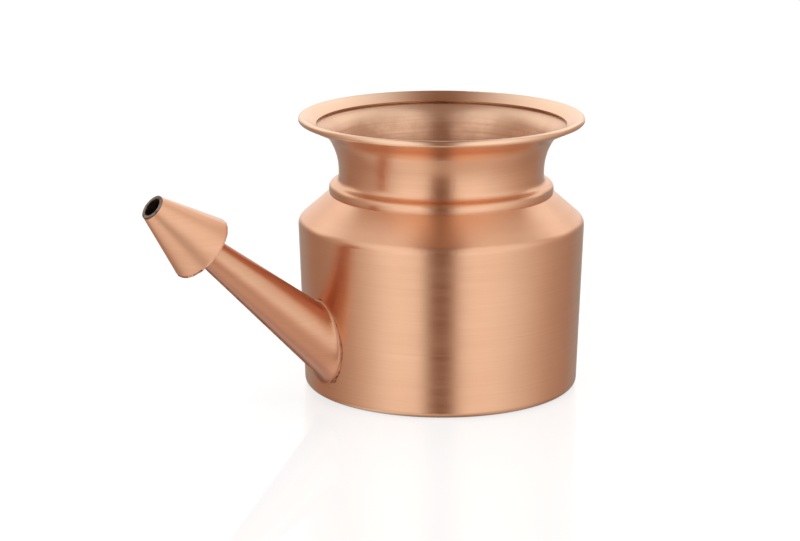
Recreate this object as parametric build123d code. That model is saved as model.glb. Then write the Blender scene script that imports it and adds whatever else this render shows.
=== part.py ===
from build123d import *
from math import asin, atan2, cos, radians, sin
import os

# A copper nasal rinsing pot: a drawn round pot with a spun neck and a rolled brim, and a rising
# tapered spout that ends in a hollow cone-shaped nozzle. Every joint is brazed or soldered, so
# nothing moves. Millimetres, +Z up. The origin is the centre of the flat base, and the spout
# points along -X.

# ---- driving dimensions ------------------------------------------------------------------------
POT_SHEET = 0.8              # copper sheet of the pot and the neck
SPOUT_SHEET = 0.6            # thinner sheet of the spout and the nozzle

BASE_RADIUS = 46.4           # where the wall line meets the base plane
BASE_CORNER = 2.1            # rounding at the foot of the wall
SHOULDER_RADIUS = 48.3       # where the wall line meets the shoulder line
SHOULDER_HEIGHT = 56.6
SHOULDER_ROUNDING = 2.9
CREASE_RADIUS = 37.6         # where the shoulder line meets the neck's bead
CREASE_HEIGHT = 65.9

OPENING_RADIUS = 36.3        # hole in the shoulder, under the neck
NECK_EDGE = (37.3, 64.4)     # start of the neck's lower run, cut to the shoulder's slope
BEAD_LOW = (37.9, 66.7)      # the neck bulges into a bead just above the shoulder
BEAD_LOW_ROUNDING = 2.5
BEAD_HIGH = (37.85, 68.9)
BEAD_ROUNDING = 2.2
NECK_BRAZE = 0.8             # leg of the fillet inside the foot of the neck
NECK_BRAZE_SETBACK = 0.05    # the fillet starts just behind the opening's edge
NECK_FOOT = (34.6, 70.2)     # corner of the bead's upper slope and the neck
NECK_FOOT_ROUNDING = 2.8
THROAT = (34.5, 78.8)        # corner of the neck's line and the flare's lower line
THROAT_ROUNDING = 20.8
FLARE = (38.6, 85.9)         # corner of the flare's lower line and the brim's underside
FLARE_ROUNDING = 7.9
MOUTH_RADIUS = 48.0          # outermost point of the rolled brim
BRIM_HEIGHT = 90.95          # centre of the brim's fold
BRIM_THICKNESS = 2.4         # over the fold
FOLD_ROUNDING = 1.1
HEM_RADIUS = 42.0            # raw edge of the sheet folded back over the brim
HEM_HEIGHT = 89.35           # top of that raw edge

SPOUT_RISE = 40.4            # degrees above level
SPOUT_AXIS_HEIGHT = -18.8    # where the spout's axis meets the pot's axis
SPOUT_START = 46.0           # along the spout's axis, just inside the wall
CONE_BACK = 118.7            # along the spout's axis, where the nozzle's back plate is
TIP = 141.7                  # along the spout's axis, end of the nozzle
SPOUT_RADIUS_AT_CONE = 4.56
SPOUT_TAPER = 0.0905         # radius gained for each millimetre towards the pot
BORE_RADIUS = 3.15           # of the hole at the tip

FLANGE_WIDTH = 0.8           # the spout's root is turned out into a narrow flange on the wall
FLANGE_SHEET = 0.5
LANDING_LOW = 2.5            # the spout and its flange land on the wall between these heights
LANDING_HIGH = 50.0
ROOT_BRAZE_WIDTH = 0.7
ROOT_BRAZE_HEIGHT = 0.35
SEAM_WIDTH = 1.0             # bead of braze along the rolled spout's underside
SEAM_HEIGHT = 0.2
SEAM_START = 57.5            # along the spout's axis, just clear of the flange
SEAM_END = 116.8             # along the spout's axis, just clear of the back plate

CONE_TILT = 1.6              # the nozzle sits slightly low at its back, degrees
CONE_TIP_RADIUS = 4.25
CONE_BACK_RADIUS = 11.55
CONE_LENGTH = TIP - CONE_BACK
TIP_RING_HEIGHT = 0.4
TIP_RING_CHAMFER = 0.2
RIM_BRAZE_HEIGHT = 0.35
RIM_BRAZE_WIDTH = 0.8
RIM_BRAZE_CHAMFER = 0.21
COLLAR_BRAZE = 0.9           # leg of the fillet between the spout and the back plate
COLLAR_BRAZE_FOOT = 0.5      # the fillet spreads this much further on the plate
COLLAR_BRAZE_TOP = 0.3       # and draws in by this much at its far end

CLEAR = 60.0                 # length of the cutters, longer than anything that they cut
SPARE = 3.0                  # how far a shape runs past the edge that it is cut back to


# ---- helpers -----------------------------------------------------------------------------------
def turned(face):
    """Revolves a face drawn as (radius, height) about the Z axis."""
    return revolve(Plane.XZ * face, Axis.Z)


def sheet_section(corners, radii, thickness):
    """The section of a bent sheet. Corners are (radius, height) on its outer surface, radii
    round the corners between the first and the last, and the metal lies left of the path."""
    points = [Vector(*corner) for corner in corners]
    runs = [(after - before).normalized() for before, after in zip(points, points[1:])]
    normals = [Vector(-run.Y, run.X) for run in runs]
    inner_points = [points[0] + normals[0] * thickness]
    inner_radii = []
    for index, radius in enumerate(radii):
        before, after = normals[index], normals[index + 1]
        mitre = (before + after) / (1 + before.dot(after))
        inner_points.append(points[index + 1] + mitre * thickness)
        turns_left = runs[index].X * runs[index + 1].Y > runs[index].Y * runs[index + 1].X
        inner_radii.append(radius - thickness if turns_left else radius + thickness)
    inner_points.append(points[-1] + normals[-1] * thickness)
    outer = FilletPolyline(*points, radius=radii)
    inner = FilletPolyline(*inner_points, radius=inner_radii)
    ends = [Line(points[0], inner_points[0]), Line(points[-1], inner_points[-1])]
    return make_face(Wire([*outer.edges(), *inner.edges(), *ends]))


def in_spout_frame(shape, tilt=0.0):
    """Places a shape drawn about +Z on the spout's axis. The tilted frame pivots at the tip."""
    rise = radians(SPOUT_RISE)
    tip = (-TIP * cos(rise), 0, SPOUT_AXIS_HEIGHT + TIP * sin(rise))
    direction = radians(SPOUT_RISE + tilt)
    plane = Plane(origin=tip, x_dir=(0, 1, 0), z_dir=(-cos(direction), 0, sin(direction)))
    return plane * shape


def turned_about_spout(points, tilt=0.0):
    """A solid of revolution about the spout's axis. Points are (radius, distance from the tip)."""
    outline = make_face(Polyline(*points, close=True))
    return in_spout_frame(turned(outline), tilt)


def spout_envelope(growth, end=0.0):
    """The spout's outer shape, filled, with its surface moved out by growth, up to an end
    measured from the nozzle's tip."""
    root_radius = SPOUT_RADIUS_AT_CONE + SPOUT_TAPER * (CONE_BACK - SPOUT_START)
    nose_radius = BORE_RADIUS + SPOUT_SHEET
    points = [
        (0, SPOUT_START - TIP),
        (root_radius + growth, SPOUT_START - TIP),
        (SPOUT_RADIUS_AT_CONE + growth, CONE_BACK - TIP),
        (nose_radius + growth, end),
        (0, end),
    ]
    return turned_about_spout(points)


def wall_skin(thickness):
    """A layer of that thickness on the outside of the lower wall, where the spout lands."""
    lean = (SHOULDER_RADIUS - BASE_RADIUS) / SHOULDER_HEIGHT
    inner_low = BASE_RADIUS + lean * LANDING_LOW
    inner_high = BASE_RADIUS + lean * LANDING_HIGH
    points = [(inner_low, LANDING_LOW), (inner_low + thickness, LANDING_LOW),
              (inner_high + thickness, LANDING_HIGH), (inner_high, LANDING_HIGH)]
    return turned(make_face(Polyline(*points, close=True)))


def cone_radius(distance_from_tip):
    """Outer radius of the nozzle's cone."""
    share = distance_from_tip / CONE_LENGTH
    return CONE_TIP_RADIUS + (CONE_BACK_RADIUS - CONE_TIP_RADIUS) * share


# ---- the pot -----------------------------------------------------------------------------------
def pot_corners():
    """Corners of the pot's outer line, from the middle of the base to inside its opening."""
    slope = (CREASE_HEIGHT - SHOULDER_HEIGHT) / (SHOULDER_RADIUS - CREASE_RADIUS)
    end_radius = OPENING_RADIUS - SPARE
    end_height = SHOULDER_HEIGHT + slope * (SHOULDER_RADIUS - end_radius)
    return [(0, 0), (BASE_RADIUS, 0), (SHOULDER_RADIUS, SHOULDER_HEIGHT), (end_radius, end_height)]


def body_shell():
    """The drawn pot: flat base, wall and shoulder in one sheet, with the spout's outlet hole."""
    shell = turned(sheet_section(pot_corners(), [BASE_CORNER, SHOULDER_ROUNDING], POT_SHEET))
    neck_hole = Pos(0, 0, SHOULDER_HEIGHT + CLEAR / 2) * Cylinder(OPENING_RADIUS, CLEAR)
    return shell - neck_hole - spout_envelope(-SPOUT_SHEET)


def pot_filled():
    """The pot's outer shape as one block, used to trim the spout to the wall."""
    end_height = pot_corners()[-1][1]
    outline = Polyline(*pot_corners(), (0, end_height), close=True)
    return turned(make_face(outline))


# ---- the neck ----------------------------------------------------------------------------------
def neck_collar():
    """The spun neck: bead, throat, flared mouth and a brim folded back on itself."""
    half = BRIM_THICKNESS / 2
    fold_centre = Vector(MOUTH_RADIUS - half, BRIM_HEIGHT)
    to_centre = fold_centre - Vector(*FLARE)
    slope = atan2(to_centre.Y, to_centre.X) - asin(half / to_centre.length)
    outward = Vector(cos(slope), sin(slope)) * half
    upward = Vector(-sin(slope), cos(slope)) * half
    corners = [
        NECK_EDGE,
        BEAD_LOW,
        BEAD_HIGH,
        NECK_FOOT,
        THROAT,
        FLARE,
        fold_centre + outward - upward,
        fold_centre + outward + upward,
        (HEM_RADIUS, HEM_HEIGHT),
    ]
    radii = [BEAD_LOW_ROUNDING, BEAD_ROUNDING, NECK_FOOT_ROUNDING,
             THROAT_ROUNDING, FLARE_ROUNDING, FOLD_ROUNDING, FOLD_ROUNDING]
    return turned(sheet_section(corners, radii, POT_SHEET)) - pot_filled()


def neck_seam_braze():
    """Fillet of braze inside the pot, between the shoulder's edge and the foot of the neck."""
    slope = (CREASE_HEIGHT - SHOULDER_HEIGHT) / (SHOULDER_RADIUS - CREASE_RADIUS)
    outer = NECK_EDGE[0]
    inner = OPENING_RADIUS + NECK_BRAZE_SETBACK
    height = CREASE_HEIGHT + (CREASE_RADIUS - outer) * slope
    points = [(outer, height), (outer, height + NECK_BRAZE + (outer - inner) * slope),
              (inner, height + (outer - inner) * slope)]
    return turned(make_face(Polyline(*points, close=True))) - neck_collar()


# ---- the spout ---------------------------------------------------------------------------------
def spout_tube():
    """Tapered tube rolled from sheet, with a narrow flange that lies on the pot's wall."""
    tube = spout_envelope(0, -TIP_RING_HEIGHT) - pot_filled()
    flange = spout_envelope(FLANGE_WIDTH) & wall_skin(FLANGE_SHEET)
    return tube + flange - spout_envelope(-SPOUT_SHEET)


def spout_seam_braze():
    """Low bead of braze along the underside, over the joint of the rolled sheet."""
    length = SEAM_END - SEAM_START
    middle = (SEAM_START + SEAM_END) / 2 - TIP
    strip = in_spout_frame(Pos(0, CLEAR / 2, middle) * Box(SEAM_WIDTH, CLEAR, length))
    return (spout_envelope(SEAM_HEIGHT) - spout_envelope(0)) & strip


def spout_root_braze():
    """Bead of braze round the edge of the spout's flange."""
    ring = spout_envelope(FLANGE_WIDTH + ROOT_BRAZE_WIDTH) - spout_envelope(FLANGE_WIDTH)
    return ring & wall_skin(ROOT_BRAZE_HEIGHT)


# ---- the nozzle --------------------------------------------------------------------------------
def nozzle_cone():
    """Hollow cone that seals against the nostril."""
    back = CONE_LENGTH - RIM_BRAZE_HEIGHT
    points = [
        (cone_radius(0) - SPOUT_SHEET, 0),
        (cone_radius(0), 0),
        (cone_radius(back), -back),
        (cone_radius(back) - SPOUT_SHEET, -back),
    ]
    beyond_tip = in_spout_frame(Pos(0, 0, CLEAR / 2 - TIP_RING_HEIGHT) * Cylinder(CLEAR, CLEAR))
    return turned_about_spout(points, CONE_TILT) - spout_envelope(0) - beyond_tip


def nozzle_back_plate():
    """Disc that closes the back of the cone, with a hole for the spout."""
    back = CONE_LENGTH - RIM_BRAZE_HEIGHT
    front = back - SPOUT_SHEET
    points = [
        (0, -front),
        (cone_radius(front) - SPOUT_SHEET, -front),
        (cone_radius(back) - SPOUT_SHEET, -back),
        (0, -back),
    ]
    return turned_about_spout(points, CONE_TILT) - spout_envelope(0)


def nozzle_rim_braze():
    """Bead of braze over the joint between the cone's back edge and the plate."""
    near = CONE_LENGTH - RIM_BRAZE_HEIGHT
    outer = cone_radius(near)
    far = near + RIM_BRAZE_HEIGHT
    points = [
        (outer - RIM_BRAZE_WIDTH, -near),
        (outer, -near),
        (outer, -far + RIM_BRAZE_CHAMFER),
        (outer - RIM_BRAZE_CHAMFER, -far),
        (outer - RIM_BRAZE_WIDTH + RIM_BRAZE_CHAMFER, -far),
    ]
    return turned_about_spout(points, CONE_TILT)


def nozzle_collar_braze():
    """Fillet of braze round the spout where it enters the back plate."""
    near = CONE_LENGTH - RIM_BRAZE_HEIGHT
    inner = SPOUT_RADIUS_AT_CONE - SPOUT_SHEET / 2
    outer = SPOUT_RADIUS_AT_CONE + COLLAR_BRAZE
    far = near + COLLAR_BRAZE
    points = [(inner, -near), (outer + COLLAR_BRAZE_FOOT, -near),
              (outer - COLLAR_BRAZE_TOP, -far), (inner, -far)]
    return turned_about_spout(points, CONE_TILT) - spout_envelope(0)


def nozzle_tip_solder():
    """Ring of grey solder that joins the tube's end to the cone's front edge."""
    outer = cone_radius(TIP_RING_HEIGHT)
    points = [
        (BORE_RADIUS, -TIP_RING_HEIGHT),
        (outer, -TIP_RING_HEIGHT),
        (outer, -TIP_RING_CHAMFER),
        (outer - TIP_RING_CHAMFER, 0),
        (BORE_RADIUS + TIP_RING_CHAMFER, 0),
        (BORE_RADIUS, -TIP_RING_CHAMFER),
    ]
    return turned_about_spout(points)


# ---- output ------------------------------------------------------------------------------------
NODES = [
    body_shell, neck_collar, neck_seam_braze,
    spout_tube, spout_seam_braze, spout_root_braze,
    nozzle_cone, nozzle_back_plate, nozzle_rim_braze, nozzle_collar_braze, nozzle_tip_solder,
]

os.makedirs("parts", exist_ok=True)
for make_node in NODES:
    export_step(make_node(), f"parts/{make_node.__name__}.step")
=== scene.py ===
import math
import bpy
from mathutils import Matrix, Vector, noise


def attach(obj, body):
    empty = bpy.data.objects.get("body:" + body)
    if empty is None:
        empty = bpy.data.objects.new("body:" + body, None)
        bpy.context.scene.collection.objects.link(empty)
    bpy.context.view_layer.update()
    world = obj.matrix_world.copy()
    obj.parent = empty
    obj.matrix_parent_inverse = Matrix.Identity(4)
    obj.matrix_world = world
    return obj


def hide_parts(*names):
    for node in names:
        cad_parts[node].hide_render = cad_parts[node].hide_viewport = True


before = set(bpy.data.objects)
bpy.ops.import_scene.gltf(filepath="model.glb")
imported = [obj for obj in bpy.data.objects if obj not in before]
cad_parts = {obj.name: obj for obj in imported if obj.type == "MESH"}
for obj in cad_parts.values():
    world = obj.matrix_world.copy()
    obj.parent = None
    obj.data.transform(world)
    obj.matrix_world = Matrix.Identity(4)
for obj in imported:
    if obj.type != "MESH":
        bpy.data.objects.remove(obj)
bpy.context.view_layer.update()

# Looks of a copper nasal rinsing pot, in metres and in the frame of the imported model: +Z up, the
# origin at the centre of the flat base, the spout towards -X.
MM = 0.001

# ---- sizes that the detailed pieces share with the frame ------------------------------------------
BASE_RADIUS = 46.4 * MM
SHOULDER_RADIUS = 48.3 * MM
SHOULDER_HEIGHT = 56.6 * MM
WALL_LEAN = (SHOULDER_RADIUS - BASE_RADIUS) / SHOULDER_HEIGHT

SPOUT_RISE = math.radians(40.4)
SPOUT_AXIS_HEIGHT = -18.8 * MM        # where it would meet the pot's axis, below the base
TIP = 141.7 * MM                      # along the spout's axis, from the pot's axis
CONE_BACK = 118.7 * MM                # the nozzle's back, along the spout's axis too
SPOUT_RADIUS_AT_CONE = 4.56 * MM
SPOUT_TAPER = 0.0905                  # growth of the radius over the length
SPOUT_SHEET = 0.6 * MM
BORE_RADIUS = 3.15 * MM
FLANGE_WIDTH = 0.8 * MM
FLANGE_SHEET = 0.5 * MM

CONE_TILT = math.radians(1.6)
CONE_TIP_RADIUS = 4.25 * MM
CONE_BACK_RADIUS = 11.55 * MM
CONE_LENGTH = TIP - CONE_BACK
TIP_RING_HEIGHT = 0.4 * MM
RIM_BRAZE_HEIGHT = 0.35 * MM

# ---- camera ---------------------------------------------------------------------------------------
CAMERA_AZIMUTH = math.radians(-33)    # from -Y, positive towards +X
CAMERA_DISTANCE = 774.3 * MM          # level distance from the pot's axis
CAMERA_HEIGHT = 233.3 * MM
CAMERA_DIP = math.radians(14.147)     # below level
CAMERA_TURN = math.radians(1.029)     # to the left of the pot's axis
CAMERA_LENS = 105.62
TOWARDS_CAMERA = Vector((math.sin(CAMERA_AZIMUTH), -math.cos(CAMERA_AZIMUTH), 0))
SIDEWAYS = Vector((-TOWARDS_CAMERA.y, TOWARDS_CAMERA.x, 0))
UPWARDS = Vector((0, 0, 1))


def add_camera():
    """Long lens, a little above the brim, looking down at the pot."""
    data = bpy.data.cameras.new("camera")
    data.lens = CAMERA_LENS
    data.sensor_width = 36.0
    data.clip_start = 0.01
    data.clip_end = 50.0
    camera = bpy.data.objects.new("camera", data)
    camera.location = TOWARDS_CAMERA * CAMERA_DISTANCE + UPWARDS * CAMERA_HEIGHT
    camera.rotation_euler = (math.pi / 2 - CAMERA_DIP, 0, CAMERA_AZIMUTH + CAMERA_TURN)
    bpy.context.scene.collection.objects.link(camera)
    bpy.context.scene.camera = camera


# ---- node helpers ---------------------------------------------------------------------------------
class Nodes:
    """A node tree that is written as nested calls."""

    def __init__(self, tree):
        self.tree = tree
        tree.nodes.clear()

    def add(self, kind, inputs=None, **settings):
        node = self.tree.nodes.new(kind)
        for key, value in settings.items():
            setattr(node, key, value)
        for key, value in (inputs or {}).items():
            if isinstance(value, bpy.types.NodeSocket):
                self.tree.links.new(value, node.inputs[key])
            else:
                node.inputs[key].default_value = value
        return node

    def math(self, operation, first, second=0.0, clamp=False):
        inputs = {0: first, 1: second}
        return self.add("ShaderNodeMath", inputs, operation=operation, use_clamp=clamp).outputs[0]

    def dot(self, first, second):
        node = self.add("ShaderNodeVectorMath", {0: first, 1: second}, operation="DOT_PRODUCT")
        return node.outputs["Value"]

    def smooth(self, value, low, high):
        """0 below low and 1 above high, with a soft rise between them."""
        inputs = {"Value": value, "From Min": low, "From Max": high}
        node = self.add("ShaderNodeMapRange", inputs, interpolation_type="SMOOTHSTEP")
        return node.outputs["Result"]

    def near(self, value, centre, reach, core):
        """1 within core of the centre and 0 beyond reach of it."""
        away = self.math("ABSOLUTE", self.math("SUBTRACT", value, centre))
        return self.smooth(away, reach, core)

    def product(self, first, *others):
        """All of them multiplied together."""
        for other in others:
            first = self.math("MULTIPLY", first, other)
        return first

    def remap(self, value, low, high, to_low, to_high):
        inputs = {"Value": value, "From Min": low, "From Max": high,
                  "To Min": to_low, "To Max": to_high}
        return self.add("ShaderNodeMapRange", inputs).outputs["Result"]

    def blend(self, factor, first, second):
        """Mix of two numbers."""
        return self.add("ShaderNodeMix", {0: factor, 2: first, 3: second}).outputs[0]

    def mix(self, factor, first, second, blend="MIX"):
        """Mix of two colours."""
        inputs = {"Factor": factor}
        node = self.add("ShaderNodeMix", inputs, data_type="RGBA", blend_type=blend)
        for index, value in ((6, first), (7, second)):
            if isinstance(value, bpy.types.NodeSocket):
                self.tree.links.new(value, node.inputs[index])
            else:
                node.inputs[index].default_value = value
        return node.outputs[2]

    def ramp(self, value, stops):
        node = self.add("ShaderNodeValToRGB", {"Fac": value})
        elements = node.color_ramp.elements
        while len(elements) < len(stops):
            elements.new(0.5)
        for element, (position, colour) in zip(elements, stops):
            element.position = position
            element.color = (*colour, 1)
        return node.outputs["Color"]

    def noise(self, vector, scale, detail=3.0, roughness=0.55):
        inputs = {"Vector": vector, "Scale": scale, "Detail": detail, "Roughness": roughness}
        return self.add("ShaderNodeTexNoise", inputs).outputs["Fac"]

    def position(self):
        return self.add("ShaderNodeTexCoord").outputs["Object"]


# ---- stage ----------------------------------------------------------------------------------------
# Levels of light in the tent: 1 is the white of paper.
PEAK = 1.17                           # brightest part of the panels
PANEL_LEVELS = [                      # by nearness to the camera, from far behind the pot to close
    (0.00, 0.36), (0.15, 0.40), (0.375, 0.53), (0.58, 0.72), (0.74, 0.97), (0.85, 1.12),
    (1.00, PEAK)]
OVERHEAD_NEARNESS = 0.55              # how near to the camera the panels' tops count as
LEFT_END_SHARE = 0.80                 # of a panel's light, at the far left
GAP_SHARE = 0.03                      # of the panels' light, in the gap between them
TABLE_SHARE = 0.82                    # of the panels' light, on the table in front of the pot
NEAR_RIGHT, NEAR_LEFT = 0.68, 0.98    # table close to the pot
UNDERFOOT = 0.42                      # table straight below it
BACKDROP = 1.05
SLOPE, SLOPE_GAP = 1.15, 0.234        # tent above the backdrop, beside the gap and in it
# Where one part of the tent gives way to the next, as components of a direction of length 1.
GAP_EDGE = (0.08, 0.31)               # to either side
FAR_LEFT_EDGE = (-0.60, -0.95)        # across: the camera's left is negative
NEAR_LEFT_EDGE = (0.0, -0.3)
TABLE_EDGE = (-0.50, -0.80)           # up: below level is negative
NEAR_EDGE = (-0.62, -0.85)
UNDERFOOT_EDGE = (-0.92, -0.98)
SLOPE_LOWER_EDGE = (0.05, 0.45)
SLOPE_FRONT_EDGE = (-0.15, -0.50)     # towards the camera: behind the pot is negative
DAYLIGHT_EDGE = (-0.55, -0.85)
BACKDROP_EDGE = (-0.88, -0.98)
TENT_TINTS = [                        # dim parts of the tent are brown
    (0.00, (0.12, 0.04, 0.01)),
    (0.20, (0.21, 0.080, 0.028)),
    (0.35, (0.35, 0.22, 0.165)),
    (0.47, (0.47, 0.36, 0.31)),
    (0.62, (0.62, 0.51, 0.46)),
    (0.80, (0.80, 0.76, 0.72)),
    (1.00, (1.0, 1.0, 1.0)),
    (PEAK, (PEAK, PEAK, PEAK)),
]


def scaled_levels(stops):
    """Ramps hold 0 to 1, so the levels are held as shares of the peak."""
    return [(place, (level / PEAK,) * 3) for place, level in stops]


def scaled_tints(stops):
    """The same for a ramp from a level of light to its colour."""
    return [(level / PEAK, tuple(part / PEAK for part in colour)) for level, colour in stops]


def tent_panels(n, forward, across, upward):
    """The two bright panels, brightest beside the camera, which keep their light overhead."""
    overhead = n.math("MULTIPLY", n.math("MAXIMUM", upward, 0.0), OVERHEAD_NEARNESS)
    nearness = n.remap(n.math("ADD", forward, overhead), -1.0, 1.0, 0.0, 1.0)
    panel = n.ramp(nearness, scaled_levels(PANEL_LEVELS))
    # folds in the tent's cloth, which run up and down
    cloth = n.add("ShaderNodeCombineXYZ", {0: n.math("MULTIPLY", across, 9.0),
                                           1: n.math("MULTIPLY", forward, 2.0),
                                           2: n.math("MULTIPLY", upward, 0.6)}).outputs[0]
    folds = n.remap(n.noise(cloth, 1.0, 2.0), 0.3, 0.7, 0.94, 1.03)
    far_left = n.remap(n.smooth(across, *FAR_LEFT_EDGE), 0.0, 1.0, 1.0, LEFT_END_SHARE)
    return n.product(panel, folds, far_left)


def tent_table(n, light, panel, beside_gap, across, upward):
    """The table takes the panels' light, and is darker towards the pot's foot."""
    lowered = n.math("SUBTRACT", upward, n.math("MULTIPLY", beside_gap, 0.2))
    light = n.blend(n.smooth(lowered, *TABLE_EDGE), light, n.math("MULTIPLY", panel, TABLE_SHARE))
    to_left = n.smooth(across, *NEAR_LEFT_EDGE)
    near = n.remap(to_left, 0.0, 1.0, NEAR_RIGHT / PEAK, NEAR_LEFT / PEAK)
    light = n.blend(n.smooth(upward, *NEAR_EDGE), light, near)
    return n.blend(n.smooth(upward, *UNDERFOOT_EDGE), light, UNDERFOOT / PEAK)


def tent_back(n, light, beside_gap, forward, upward):
    """The white backdrop, seen a little higher up too, and the tent's bright slope above it."""
    raised = n.math("MULTIPLY", n.math("MINIMUM", n.math("MAXIMUM", upward, 0.0), 0.2), 0.8)
    behind = n.math("SUBTRACT", forward, raised)
    backdrop = n.math("MULTIPLY", n.smooth(behind, *BACKDROP_EDGE), BACKDROP / PEAK)
    slope = n.product(n.smooth(upward, *SLOPE_LOWER_EDGE), n.smooth(forward, *SLOPE_FRONT_EDGE),
                      n.remap(beside_gap, 0.0, 1.0, SLOPE_GAP / PEAK, SLOPE / PEAK))
    return n.math("MAXIMUM", light, n.math("MAXIMUM", backdrop, slope))


def add_world():
    """A light tent: a bright panel on each side of the camera, a dim gap between them that runs over
    the top, sides that fall off towards the back, a white backdrop and a dark strip underfoot. The
    camera sees plain white, and only the metal and the table take the tent's light."""
    world = bpy.data.worlds.new("light_tent")
    bpy.context.scene.world = world
    world.use_nodes = True
    n = Nodes(world.node_tree)
    direction = n.add("ShaderNodeTexCoord").outputs["Generated"]
    forward = n.dot(direction, TOWARDS_CAMERA)
    across = n.dot(direction, SIDEWAYS)
    upward = n.dot(direction, UPWARDS)
    panel = tent_panels(n, forward, across, upward)
    beside_gap = n.smooth(n.math("ABSOLUTE", across), *GAP_EDGE)
    light = n.math("MULTIPLY", n.remap(beside_gap, 0.0, 1.0, GAP_SHARE, 1.0), panel)
    light = tent_table(n, light, panel, beside_gap, across, upward)
    light = tent_back(n, light, beside_gap, forward, upward)
    colour = n.ramp(light, scaled_tints(TENT_TINTS))
    # the far side is lit by daylight, so it stays grey where it is dim
    grey = n.add("ShaderNodeCombineColor", {0: light, 1: n.math("MULTIPLY", light, 0.96),
                                            2: n.math("MULTIPLY", light, 0.93)}).outputs[0]
    colour = n.mix(n.smooth(forward, *DAYLIGHT_EDGE), colour, grey)
    seen = n.add("ShaderNodeBackground", {"Color": (1, 1, 1, 1), "Strength": 1.0})
    lit = n.add("ShaderNodeBackground", {"Color": colour, "Strength": PEAK})
    camera_ray = n.add("ShaderNodeLightPath").outputs["Is Camera Ray"]
    mixed = n.add("ShaderNodeMixShader", {0: camera_ray, 1: lit.outputs[0], 2: seen.outputs[0]})
    n.add("ShaderNodeOutputWorld", {"Surface": mixed.outputs[0]})


FLOOR_HALF_WIDTH = 8.0
FLOOR_GLOW = 1.03                     # keeps the table white wherever little light falls
FLOOR_GLOW_SHARE = 0.8
FLOOR_MIRROR_SHARE = 0.12
FLOOR_MIRROR_ROUGHNESS = 0.06


def add_floor():
    """Plain white table top with the faintest mirror image in it."""
    half = FLOOR_HALF_WIDTH
    mesh = bpy.data.meshes.new("floor")
    corners = [(-half, -half, 0), (half, -half, 0), (half, half, 0), (-half, half, 0)]
    mesh.from_pydata(corners, [], [(0, 1, 2, 3)])
    floor = bpy.data.objects.new("floor", mesh)
    bpy.context.scene.collection.objects.link(floor)
    floor.visible_glossy = False
    material = bpy.data.materials.new("white_table")
    material.use_nodes = True
    n = Nodes(material.node_tree)
    matt = n.add("ShaderNodeBsdfDiffuse", {"Color": (0.9, 0.9, 0.9, 1)})
    glow = n.add("ShaderNodeEmission", {"Color": (1, 1, 1, 1), "Strength": FLOOR_GLOW})
    pale = n.add("ShaderNodeMixShader", {0: FLOOR_GLOW_SHARE, 1: matt.outputs[0],
                                         2: glow.outputs[0]})
    mirror = n.add("ShaderNodeBsdfGlossy", {"Color": (1, 1, 1, 1),
                                            "Roughness": FLOOR_MIRROR_ROUGHNESS})
    both = n.add("ShaderNodeMixShader", {0: FLOOR_MIRROR_SHARE, 1: pale.outputs[0],
                                         2: mirror.outputs[0]})
    n.add("ShaderNodeOutputMaterial", {"Surface": both.outputs[0]})
    mesh.materials.append(material)


def add_lights():
    """Soft overhead light for the table top. The metal only mirrors the tent."""
    data = bpy.data.lights.new("overhead", "AREA")
    data.shape = "DISK"
    data.size = 3.0
    data.energy = 48.0
    light = bpy.data.objects.new("overhead", data)
    light.location = (0, 0, 2.2)
    light.visible_camera = False
    light.visible_glossy = False
    bpy.context.scene.collection.objects.link(light)


# ---- materials ------------------------------------------------------------------------------------
COPPER, PALE_COPPER = (0.80, 0.455, 0.285), (0.90, 0.545, 0.36)
STROKE_SHADOW = (0.70, 0.36, 0.20)
DARK_PATINA, PALE_PATINA = (0.64, 0.365, 0.235), (0.88, 0.545, 0.375)
PATINA_SCRATCH = (0.50, 0.27, 0.17)
# painted highlight on the brim's top, where it faces the bright tent above
BRIM_HIGHLIGHT = (0.97, 0.74, 0.59)
# painted light on the flare, standing in for light thrown back up from the shoulder
PAINTED_FLARE_LIGHT = (0.98, 0.70, 0.50)
# painted contact shadow along the bottom edge, where the pot meets the table
FOOT_CONTACT_SHADE = (0.34, 0.24, 0.19)
# grime and painted shade in the corner under the hem's raw edge
HEM_GRIME_AND_SHADE = (0.30, 0.15, 0.09)
# painted highlight along the nozzle's top
RIDGE_HIGHLIGHT = (1.0, 0.80, 0.67)
SHADE_ABOVE = (0.78, 0.56, 0.51)       # painted shade and painted reflection on the spout; these colours multiply what is under them
SHADE_BELOW = (0.93, 0.80, 0.77)
SHADE_LOWEST = (0.68, 0.64, 0.66)

# places on the pot where its finish changes, and where light and shade are painted
HEM_RADIUS = 42.0 * MM                # raw edge of the brim's fold, inside the mouth
HEM_HEIGHT = 88.7 * MM
BRIM_RADIUS = 47.0 * MM               # the brim's flat top ends here
BRIM_HEIGHT = 89.5 * MM
FLARE_RADIUS = 39.0 * MM              # the flare is lightened with painted light from here out and up
FLARE_HEIGHT = 84.0 * MM
FOOT_HEIGHT = 0.5 * MM                # painted contact shade up to here


def rgba(colour, tint=1.0):
    return (*[part * tint for part in colour], 1)


class Surface:
    """What a finish reads at each point: place, direction, brush strokes and soft clouds."""

    def __init__(self, n):
        self.place = n.position()
        self.x, self.y, self.z = n.add("ShaderNodeSeparateXYZ", {0: self.place}).outputs
        squares = n.math("ADD", n.math("MULTIPLY", self.x, self.x), n.math("MULTIPLY", self.y, self.y))
        self.radius = n.math("SQRT", squares)
        self.normal = n.add("ShaderNodeNewGeometry").outputs["Normal"]
        self.level = n.dot(self.normal, UPWARDS)
        # strokes run round the axis, so they are fine along it, or outwards on flat parts
        flatness = n.smooth(n.math("ABSOLUTE", self.level), 0.6, 0.9)
        along = n.blend(flatness, self.z, self.radius)
        strokes = n.add("ShaderNodeCombineXYZ", {0: n.math("MULTIPLY", self.x, 14.0),
                                                 1: n.math("MULTIPLY", self.y, 14.0),
                                                 2: n.math("MULTIPLY", along, 900.0)}).outputs[0]
        self.fine = n.noise(strokes, 1.6, 4.0, 0.7)
        self.broad = n.noise(strokes, 0.35, 2.0)
        self.cloud = n.noise(self.place, 45.0, 3.0, 0.5)


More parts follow.
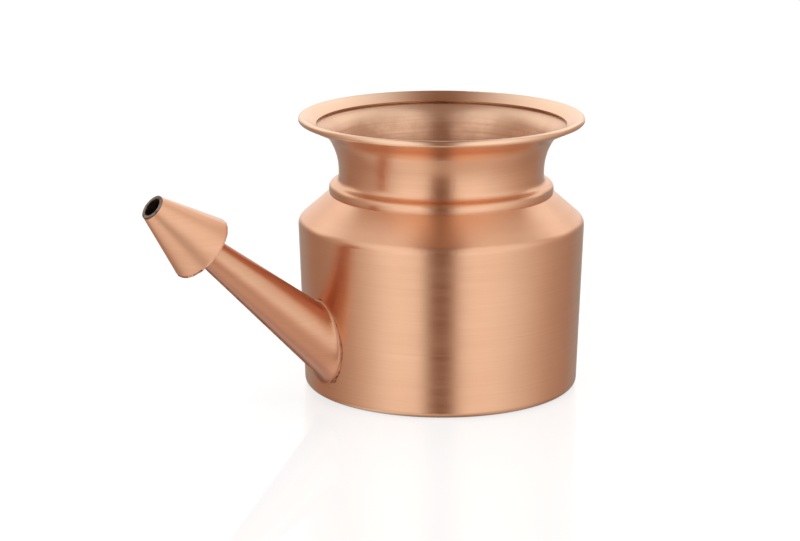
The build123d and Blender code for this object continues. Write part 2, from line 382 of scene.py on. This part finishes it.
def inside_of_pot(n, surface):
    """1 on the faces that look at the pot's axis and are nearer to it than the hem."""
    outwards = n.add("ShaderNodeCombineXYZ", {0: surface.x, 1: surface.y, 2: 0.0}).outputs[0]
    inwards = n.smooth(n.dot(surface.normal, outwards), -0.004, -0.015)
    return n.product(inwards, n.smooth(surface.radius, HEM_RADIUS, HEM_RADIUS - 0.5 * MM))


def with_patina(n, surface, colour, inside):
    """The inside is left dull and patchy."""
    patches = n.smooth(n.noise(surface.place, 90.0, 5.0, 0.6), 0.35, 0.65)
    patina = n.mix(patches, rgba(DARK_PATINA), rgba(PALE_PATINA))
    patina = n.mix(n.remap(surface.fine, 0.35, 0.65, 0.0, 0.45), patina, rgba(PATINA_SCRATCH))
    return n.mix(n.math("MULTIPLY", inside, 0.8), colour, patina)


def with_painted_light_and_grime(n, surface, colour):
    """Painted highlight on the top of the brim, painted light on the flare, painted contact shade on
    the foot, and grime with painted shade in the corner under the hem's raw edge."""
    # painted highlight: the brim's up-facing top is made pale
    brim = n.product(n.smooth(surface.radius, HEM_RADIUS + 0.3 * MM, BRIM_RADIUS),
                     n.smooth(surface.z, BRIM_HEIGHT - 1 * MM, BRIM_HEIGHT),
                     n.smooth(surface.level, 0.6, 0.85),
                     n.remap(surface.cloud, 0.3, 0.7, 0.7, 1.0))
    colour = n.mix(brim, colour, rgba(BRIM_HIGHLIGHT))
    # painted light: the flare is lightened
    flare = n.product(n.smooth(surface.z, FLARE_HEIGHT - 10 * MM, FLARE_HEIGHT),
                      n.smooth(surface.radius, FLARE_RADIUS - 4 * MM, FLARE_RADIUS), 0.6)
    colour = n.mix(flare, colour, rgba(PAINTED_FLARE_LIGHT))
    # painted shade: the lowest millimetre of the foot is darkened as in contact shadow
    foot = n.product(n.smooth(surface.z, FOOT_HEIGHT + 0.8 * MM, FOOT_HEIGHT), 0.75)
    colour = n.mix(foot, colour, rgba(FOOT_CONTACT_SHADE))
    # grime and painted shade in the corner under the hem's raw edge
    hem = n.product(n.near(surface.radius, HEM_RADIUS, 0.5 * MM, 0.2 * MM),
                    n.near(surface.z, HEM_HEIGHT, 0.7 * MM, 0.4 * MM), 0.55)
    return n.mix(hem, colour, rgba(HEM_GRIME_AND_SHADE))


def with_painted_shade(n, above, colour):
    """Painted shade and painted reflection: the spout is reddened above and below, as where it mirrors
    the copper pot, and is darkest along its lowest line.
    """
    colour = n.mix(n.smooth(above, 0.40, 0.64), colour, rgba(SHADE_ABOVE), "MULTIPLY")
    colour = n.mix(n.smooth(above, 0.05, -0.35), colour, rgba(SHADE_BELOW), "MULTIPLY")
    return n.mix(n.smooth(above, -0.72, -0.90), colour, rgba(SHADE_LOWEST), "MULTIPLY")


def satin_copper(name, tangent="RADIAL", roughness=0.32, anisotropy=0.6, tint=1.0, painted_shade=False,
                 ridge_highlight=0.0):
    """Copper brushed round the axis. The strokes go round, so that highlights stretch along it. They
    follow the pot's axis with RADIAL, and the piece's own strokes map with UV."""
    material = bpy.data.materials.new(name)
    material.use_nodes = True
    n = Nodes(material.node_tree)
    surface = Surface(n)
    inside = inside_of_pot(n, surface)
    colour = n.mix(surface.cloud, rgba(COPPER, tint), rgba(PALE_COPPER, tint))
    colour = n.mix(n.remap(surface.fine, 0.35, 0.65, 0.0, 0.20), colour, rgba(STROKE_SHADOW, tint))
    colour = with_patina(n, surface, colour, inside)
    # painted highlight, painted light and painted shade, with grime at the hem
    colour = with_painted_light_and_grime(n, surface, colour)
    above = n.dot(surface.normal, UP)
    # painted shade and painted reflection on the spout's upper and lower sides
    if painted_shade:
        colour = with_painted_shade(n, above, colour)
    # painted highlight along the nozzle's top
    if ridge_highlight:
        ridge = n.math("MULTIPLY", n.smooth(above, 0.80, 0.93), ridge_highlight)
        colour = n.mix(ridge, colour, rgba(RIDGE_HIGHLIGHT))
    streaks = n.math("ADD", n.math("MULTIPLY", surface.fine, 0.5),
                     n.math("MULTIPLY", surface.broad, 0.5))
    rough = n.remap(streaks, 0.3, 0.7, roughness - 0.05, roughness + 0.05)
    rough = n.math("ADD", rough, n.math("MULTIPLY", inside, 0.08))
    bump = n.add("ShaderNodeBump", {"Height": surface.fine, "Strength": 0.12, "Distance": 0.1 * MM})
    if tangent == "RADIAL":
        direction = n.add("ShaderNodeTangent", direction_type="RADIAL", axis="Z")
    else:
        direction = n.add("ShaderNodeTangent", direction_type="UV_MAP", uv_map="strokes")
    shader = n.add("ShaderNodeBsdfPrincipled", {
        "Base Color": colour, "Metallic": 1.0, "Roughness": rough,
        "Anisotropic": anisotropy, "Anisotropic Rotation": 0.25,
        "Normal": bump.outputs[0], "Tangent": direction.outputs[0]})
    n.add("ShaderNodeOutputMaterial", {"Surface": shader.outputs[0]})
    return material


def braze(name, light, dark, roughness=0.5):
    """Filler metal or a stained bore: dull and lumpy, with darker oxide in patches."""
    material = bpy.data.materials.new(name)
    material.use_nodes = True
    n = Nodes(material.node_tree)
    place = n.position()
    patches = n.noise(place, 420.0, 4.0, 0.65)
    grain = n.noise(place, 2400.0, 3.0, 0.6)
    colour = n.mix(n.smooth(patches, 0.42, 0.62), rgba(light), rgba(dark))
    rough = n.remap(grain, 0.3, 0.7, roughness - 0.12, roughness + 0.12)
    height = n.math("ADD", patches, n.math("MULTIPLY", grain, 0.35))
    bump = n.add("ShaderNodeBump", {"Height": height, "Strength": 0.5, "Distance": 0.2 * MM})
    shader = n.add("ShaderNodeBsdfPrincipled", {
        "Base Color": colour, "Metallic": 1.0, "Roughness": rough, "Normal": bump.outputs[0]})
    n.add("ShaderNodeOutputMaterial", {"Surface": shader.outputs[0]})
    return material


# ---- mesh helpers ---------------------------------------------------------------------------------
STROKES_LENGTH = 40 * MM              # of a loop, for 1 in V of the strokes map


def ring_mesh(name, rings, materials, material_of=lambda turn, step: 0, sharp=40):
    """A closed surface of loops of points, set side by side round an axis. The strokes map runs
    round the axis in U and along the loop in V. Material_of says which material a face takes."""
    count, length = len(rings), len(rings[0])
    vertices = [point for ring in rings for point in ring]
    faces = []
    for turn in range(count):
        for step in range(length):
            after, beyond = (turn + 1) % count, (step + 1) % length
            faces.append((turn * length + step, after * length + step,
                          after * length + beyond, turn * length + beyond))
    mesh = bpy.data.meshes.new(name)
    mesh.from_pydata(vertices, [], faces)
    strokes = mesh.uv_layers.new(name="strokes")
    run = [0.0]
    for step in range(length):
        run.append(run[-1] + (rings[0][(step + 1) % length] - rings[0][step]).length)
    for polygon in mesh.polygons:
        turn, step = divmod(polygon.index, length)
        polygon.material_index = material_of(turn, step)
        corners = [(turn, step), (turn + 1, step), (turn + 1, step + 1), (turn, step + 1)]
        for loop, (around, along) in zip(polygon.loop_indices, corners):
            strokes.data[loop].uv = (around / count, run[along] / STROKES_LENGTH)
    mesh.update()
    if signed_volume(mesh) < 0:
        mesh.flip_normals()
    mesh.shade_smooth()
    mesh.set_sharp_from_angle(angle=math.radians(sharp))
    for material in materials:
        mesh.materials.append(material)
    piece = bpy.data.objects.new(name, mesh)
    bpy.context.scene.collection.objects.link(piece)
    return piece


def signed_volume(mesh):
    """Six times the volume, negative where the faces point inwards."""
    total = 0.0
    for polygon in mesh.polygons:
        corners = [mesh.vertices[index].co for index in polygon.vertices]
        for second, third in zip(corners[1:], corners[2:]):
            total += corners[0].cross(second).dot(third)
    return total


def place(piece, slot, *nodes):
    """The piece stands for those nodes of the frame, which are hidden. Slot is not used."""
    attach(piece, "root")
    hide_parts(*nodes)


# ---- the spout's own directions -------------------------------------------------------------------
AXIS = Vector((-math.cos(SPOUT_RISE), 0, math.sin(SPOUT_RISE)))
AXIS_START = Vector((0, 0, SPOUT_AXIS_HEIGHT))
TIP_POINT = AXIS_START + AXIS * TIP
UP = Vector((math.sin(SPOUT_RISE), 0, math.cos(SPOUT_RISE)))
SIDE = Vector((0, 1, 0))
TILTED_AXIS = Vector((-math.cos(SPOUT_RISE + CONE_TILT), 0, math.sin(SPOUT_RISE + CONE_TILT)))
TILTED_UP = Vector((math.sin(SPOUT_RISE + CONE_TILT), 0, math.cos(SPOUT_RISE + CONE_TILT)))


def spoke(angle, up=UP):
    """Direction away from the spout's axis. Angle 0 is its upper side, and 90 degrees is +Y."""
    return up * math.cos(angle) + SIDE * math.sin(angle)


def spout_radius(distance):
    """Outer radius of the spout at that distance from the pot's axis, measured along its own."""
    if distance < CONE_BACK:
        return SPOUT_RADIUS_AT_CONE + SPOUT_TAPER * (CONE_BACK - distance)
    share = (distance - CONE_BACK) / CONE_LENGTH
    nose = BORE_RADIUS + SPOUT_SHEET
    return SPOUT_RADIUS_AT_CONE + (nose - SPOUT_RADIUS_AT_CONE) * share


def on_spout(distance, angle, growth=0.0):
    return AXIS_START + AXIS * distance + spoke(angle) * (spout_radius(distance) + growth)


def wall_radius(height):
    return BASE_RADIUS + WALL_LEAN * height


def landing(angle, growth=0.0):
    """Distance along the spout at which its surface, moved out by growth, meets the pot's wall."""
    near, far = BASE_RADIUS, CONE_BACK
    for _ in range(40):
        middle = (near + far) / 2
        point = on_spout(middle, angle, growth)
        if math.hypot(point.x, point.y) < wall_radius(point.z):
            near = middle
        else:
            far = middle
    return far


def wall_normal(point):
    return Vector((point.x, point.y, -WALL_LEAN * math.hypot(point.x, point.y))).normalized()


def bend(start, control, end, steps):
    """Points on a quadratic curve, its start left out."""
    points = []
    for step in range(1, steps + 1):
        share = step / steps
        points.append(start * (1 - share) ** 2 + control * (2 * share * (1 - share))
                      + end * share ** 2)
    return points


# ---- the spout ------------------------------------------------------------------------------------
FLARE_LENGTH = 5.0 * MM              # the spout's root opens out over this length
EDGE_ROUNDING = 0.12 * MM            # of the flange's thin edge
WAVINESS = 0.05 * MM                 # of the hand-made sheet
FLANGE_LEAST, FLANGE_UNEVENNESS = 0.85, 0.3    # of the flange's sheet
FLARE_TIGHTNESS = 0.7
SPOUT_TURNS = 144
ROOT_BEAD_THINNEST = 0.08 * MM
ROOT_BEAD_GROWTH = 0.46 * MM         # under a full load of filler
ROOT_BEAD_LEAST = 0.12               # load where there is no lump
ROOT_BEAD_LUMPS = [                  # load, where round the spout, and width, both in degrees
    (0.75, 215, 22), (0.35, 268, 14), (0.4, 0, 12), (0.3, 120, 40)]
BURNT_LOAD = 0.4                     # filler this thick is dark


def spout_tube(copper, stained):
    """Tapered tube whose root opens out into a thin flange on the wall."""
    rings = []
    outside_steps, flare_steps, inside_steps = 22, 9, 10
    for turn in range(SPOUT_TURNS):
        angle = math.tau * turn / SPOUT_TURNS
        foot = landing(angle)
        flare_start = foot + FLARE_LENGTH
        end = TIP - TIP_RING_HEIGHT
        ring = [on_spout(end, angle)]
        for step in range(outside_steps + 1):
            distance = CONE_BACK + (flare_start - CONE_BACK) * step / outside_steps
            wave = noise.noise(on_spout(distance, angle) * 60.0) * WAVINESS
            ring.append(on_spout(distance, angle, wave))
        corner = on_spout(foot, angle)
        edge = on_spout(landing(angle, FLANGE_WIDTH), angle, FLANGE_WIDTH)
        normal = wall_normal(edge)
        outward = (edge - corner).normalized()
        lift = FLANGE_SHEET * (FLANGE_LEAST + FLANGE_UNEVENNESS * noise.noise(edge * 300.0))
        control = corner + wall_normal(corner) * lift * FLARE_TIGHTNESS
        ring += bend(ring[-1], control, edge + normal * lift, flare_steps)
        ring.append(edge + normal * (lift - EDGE_ROUNDING) + outward * EDGE_ROUNDING)
        ring.append(edge + outward * EDGE_ROUNDING)
        inner_foot = landing(angle, -SPOUT_SHEET)
        for step in range(inside_steps + 1):
            distance = inner_foot + (CONE_BACK - inner_foot) * step / inside_steps
            ring.append(on_spout(distance, angle, -SPOUT_SHEET))
        ring.append(on_spout(end, angle, -SPOUT_SHEET))
        rings.append(ring)
    last_outside = outside_steps + flare_steps + 3
    inside = range(last_outside, last_outside + inside_steps + 2)
    piece = ring_mesh("spout", rings, [copper, stained], lambda turn, step: int(step in inside))
    place(piece, "satin_copper", "spout_tube")


def bump_at(angle, centre, width):
    """1 where the angle is the centre, falling off smoothly to both sides. The centre and the width
    are in degrees."""
    away = (math.degrees(angle) - centre + 180) % 360 - 180
    return math.exp(-(away / width) ** 2)


def spout_root_braze(clean, burnt):
    """Uneven bead round the flange: thin above, thick and lumpy below and on one side."""
    turns, steps = 320, 12
    rings, dark = [], set()
    for turn in range(turns):
        angle = math.tau * turn / turns
        edge = on_spout(landing(angle, FLANGE_WIDTH), angle, FLANGE_WIDTH)
        outward = (edge - on_spout(landing(angle), angle)).normalized()
        normal = wall_normal(edge)
        lumps = noise.noise(edge * 700.0) * 0.5 + noise.noise(edge * 1700.0) * 0.35
        load = ROOT_BEAD_LEAST
        for share, centre, width in ROOT_BEAD_LUMPS:
            load += share * bump_at(angle, centre, width)
        radius = ROOT_BEAD_THINNEST + ROOT_BEAD_GROWTH * load * (1.0 + lumps)
        if load > BURNT_LOAD:
            dark.add(turn)
        centre = edge + outward * (radius * 0.4) + normal * (radius * 0.1)
        ring = []
        for step in range(steps):
            turned = math.tau * step / steps
            reach = radius * (1.0 + 0.16 * noise.noise(edge * 2600.0 + Vector((0, 0, step))))
            ring.append(centre + outward * math.cos(turned) * reach * 1.15
                        + normal * math.sin(turned) * reach)
        rings.append(ring)
    piece = ring_mesh("spout_root_bead", rings, [clean, burnt],
                      lambda turn, step: int(turn in dark), sharp=60)
    place(piece, "copper_braze", "spout_root_braze")


# ---- the nozzle -----------------------------------------------------------------------------------
NOZZLE_TURNS = 144
BACK_ROUNDING = 0.55 * MM
BACK_DEPTH = CONE_LENGTH - RIM_BRAZE_HEIGHT
PLATE_DISH = 0.18 * MM               # hollow of the back plate


def on_nozzle(depth, radius, angle, tilted=True):
    """A point at that depth behind the tip and that radius from the nozzle's axis."""
    axis, up = (TILTED_AXIS, TILTED_UP) if tilted else (AXIS, UP)
    return TIP_POINT - axis * depth + spoke(angle, up) * radius


def cone_radius(depth):
    share = depth / CONE_LENGTH
    return CONE_TIP_RADIUS + (CONE_BACK_RADIUS - CONE_TIP_RADIUS) * share


def front_depth(angle, growth):
    """Depth at which the tilted cone meets the plane of the tip's solder ring."""
    low, high = -1 * MM, 2 * MM
    for _ in range(30):
        middle = (low + high) / 2
        point = on_nozzle(middle, cone_radius(middle) + growth, angle)
        if (TIP_POINT - point).dot(AXIS) < TIP_RING_HEIGHT:
            low = middle
        else:
            high = middle
    return high


def nozzle_cone(copper, stained):
    """Hollow cone, its back edge drawn round a little before the bead of filler."""
    rings = []
    steps, rounding_steps = 14, 5
    for turn in range(NOZZLE_TURNS):
        angle = math.tau * turn / NOZZLE_TURNS
        front = front_depth(angle, 0.0)
        straight = BACK_DEPTH - BACK_ROUNDING
        ring = []
        for step in range(steps + 1):
            depth = front + (straight - front) * step / steps
            wave = noise.noise(on_nozzle(depth, cone_radius(depth), angle) * 90.0) * WAVINESS
            ring.append(on_nozzle(depth, cone_radius(depth) + wave, angle))
        corner = on_nozzle(BACK_DEPTH, cone_radius(BACK_DEPTH), angle)
        inner_corner = on_nozzle(BACK_DEPTH, cone_radius(BACK_DEPTH) - SPOUT_SHEET * 0.6, angle)
        ring += bend(ring[-1], corner, inner_corner, rounding_steps)
        for step in range(steps + 1):
            inner_front = front_depth(angle, -SPOUT_SHEET)
            depth = BACK_DEPTH + (inner_front - BACK_DEPTH) * step / steps
            ring.append(on_nozzle(depth, cone_radius(depth) - SPOUT_SHEET, angle))
        rings.append(ring)
    inside = range(steps + rounding_steps, 2 * steps + rounding_steps + 1)
    piece = ring_mesh("nozzle_cone_skin", rings, [copper, stained],
                      lambda turn, step: int(step in inside))
    place(piece, "satin_copper", "nozzle_cone")


RIM_BEAD_RADIUS = 0.29 * MM
RIM_BEAD_LUMPS = 0.10 * MM
RIM_BEAD_GROWTH = 0.15 * MM          # where it was heated most
RIM_BURNS = [(1.0, 205, 34), (0.3, 312, 7)]    # heat, where round the rim, and width in degrees
BURNT_RIM = 0.35                     # filler is dark where it was heated more than this


def nozzle_rim_bead(clean, burnt):
    """Thin bead over the joint of the cone and its back plate, with lumps low on one side."""
    turns, steps = 300, 10
    rings, dark = [], set()
    for turn in range(turns):
        angle = math.tau * turn / turns
        middle = on_nozzle(BACK_DEPTH, cone_radius(BACK_DEPTH), angle)
        burn = sum(share * bump_at(angle, centre, width) for share, centre, width in RIM_BURNS)
        if burn > BURNT_RIM and noise.noise(middle * 500.0) > -0.2:
            dark.add(turn)
        lumps = noise.noise(middle * 600.0) * 0.5 + noise.noise(middle * 1500.0) * 0.4
        radius = RIM_BEAD_RADIUS + RIM_BEAD_LUMPS * lumps + RIM_BEAD_GROWTH * burn * (1 + lumps)
        ring = []
        for step in range(steps):
            turned = math.tau * step / steps
            depth = BACK_DEPTH + 0.05 * MM + radius * math.sin(turned)
            ring.append(on_nozzle(depth, cone_radius(BACK_DEPTH) - 0.38 * MM
                                  + radius * 1.25 * math.cos(turned), angle))
        rings.append(ring)
    piece = ring_mesh("nozzle_rim_bead", rings, [clean, burnt],
                      lambda turn, step: int(turn in dark), sharp=60)
    place(piece, "copper_braze", "nozzle_rim_braze")


def nozzle_back_plate(copper):
    """Disc with a hole for the spout, pressed very slightly hollow."""
    rings = []
    outer = cone_radius(BACK_DEPTH) - SPOUT_SHEET
    inner = SPOUT_RADIUS_AT_CONE
    steps = 10
    for turn in range(NOZZLE_TURNS):
        angle = math.tau * turn / NOZZLE_TURNS
        ring = []
        for step in range(steps + 1):
            share = step / steps
            dish = PLATE_DISH * math.sin(math.pi * share)
            ring.append(on_nozzle(BACK_DEPTH - dish, outer + (inner - outer) * share, angle))
        for step in range(steps + 1):
            share = step / steps
            dish = PLATE_DISH * math.sin(math.pi * share)
            radius = inner + (outer - inner) * share
            ring.append(on_nozzle(BACK_DEPTH - SPOUT_SHEET - dish, radius, angle))
        rings.append(ring)
    piece = ring_mesh("nozzle_back", rings, [copper])
    place(piece, "satin_copper", "nozzle_back_plate")


COLLAR_LEG = 0.95 * MM               # of the fillet, along the tube and out from it
COLLAR_UNEVENNESS = 0.35 * MM


def nozzle_collar_bead(filler):
    """Fillet of filler where the spout passes through the back plate."""
    turns, steps = 200, 10
    rings = []
    for turn in range(turns):
        angle = math.tau * turn / turns
        lumps = noise.noise(on_nozzle(BACK_DEPTH, SPOUT_RADIUS_AT_CONE, angle) * 500.0)
        leg = COLLAR_LEG + COLLAR_UNEVENNESS * lumps
        inner = SPOUT_RADIUS_AT_CONE - 0.2 * MM
        foot = on_nozzle(BACK_DEPTH, SPOUT_RADIUS_AT_CONE + leg, angle)
        hollow = on_nozzle(BACK_DEPTH + leg * 0.22, SPOUT_RADIUS_AT_CONE + leg * 0.22, angle)
        top = on_nozzle(BACK_DEPTH + leg, SPOUT_RADIUS_AT_CONE + 0.05 * MM, angle)
        ring = [foot] + bend(foot, hollow, top, steps - 3)
        ring.append(on_nozzle(BACK_DEPTH + leg, inner, angle))
        ring.append(on_nozzle(BACK_DEPTH - 0.05 * MM, inner, angle))
        rings.append(ring)
    piece = ring_mesh("nozzle_collar_bead", rings, [filler], sharp=50)
    place(piece, "copper_braze", "nozzle_collar_braze")


def nozzle_tip_ring(solder):
    """Ring of grey solder round the hole, soft-edged and a little uneven."""
    turns, steps = 180, 16
    outer_limit = cone_radius(TIP_RING_HEIGHT)
    rings = []
    for turn in range(turns):
        angle = math.tau * turn / turns
        uneven = noise.noise(on_nozzle(0, outer_limit, angle) * 500.0)
        inner = BORE_RADIUS + 0.06 * uneven * MM
        outer = outer_limit + 0.05 * uneven * MM
        middle, half_width = (inner + outer) / 2, (outer - inner) / 2
        half_height = TIP_RING_HEIGHT / 2
        ring = []
        for step in range(steps):
            turned = math.tau * step / steps
            across = math.copysign(abs(math.cos(turned)) ** 0.6, math.cos(turned))
            along = math.copysign(abs(math.sin(turned)) ** 0.6, math.sin(turned))
            ring.append(on_nozzle(half_height - half_height * along,
                                  middle + half_width * across, angle, tilted=False))
        rings.append(ring)
    piece = ring_mesh("nozzle_tip_ring", rings, [solder], sharp=70)
    place(piece, "grey_solder", "nozzle_tip_solder")


# ---- the whole object -----------------------------------------------------------------------------
def finish_frame_nodes(materials):
    """The pot, the neck and the hidden beads keep their exact shape from the frame."""
    for name, material in materials.items():
        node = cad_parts[name]
        node.data.materials.clear()
        node.data.materials.append(material)


bpy.context.scene.view_settings.view_transform = "Standard"
add_camera()
add_world()
add_floor()
add_lights()

turned_copper = satin_copper("turned_copper")
# the spout's copper carries painted shade and painted reflection
spout_copper = satin_copper("spout_copper", tangent="UV", roughness=0.36, tint=0.94, painted_shade=True)
# the nozzle's copper carries a painted highlight along its top
nozzle_copper = satin_copper("nozzle_copper", tangent="UV", roughness=0.45, anisotropy=0.2, tint=1.06,
                             ridge_highlight=0.7)
plain_braze = braze("plain_braze", (0.62, 0.34, 0.22), (0.40, 0.19, 0.11))
red_braze = braze("red_braze", (0.55, 0.25, 0.15), (0.22, 0.085, 0.05))
# painted highlight: the rim's filler is paler than the rest, for the pink highlight along the rim
rim_braze_highlight = braze("rim_braze_highlight", (0.95, 0.60, 0.46), (0.86, 0.46, 0.31), 0.35)
stained_bore = braze("stained_bore", (0.12, 0.085, 0.07), (0.05, 0.035, 0.03), 0.6)
tip_solder = braze("tip_solder", (0.32, 0.25, 0.21), (0.16, 0.115, 0.09), 0.45)

finish_frame_nodes({
    "body_shell": turned_copper,
    "neck_collar": turned_copper,
    "neck_seam_braze": plain_braze,
    "spout_seam_braze": plain_braze,
})
spout_tube(spout_copper, stained_bore)
spout_root_braze(plain_braze, red_braze)
nozzle_cone(nozzle_copper, stained_bore)
nozzle_rim_bead(rim_braze_highlight, red_braze)
nozzle_back_plate(spout_copper)
nozzle_collar_bead(plain_braze)
nozzle_tip_ring(tip_solder)
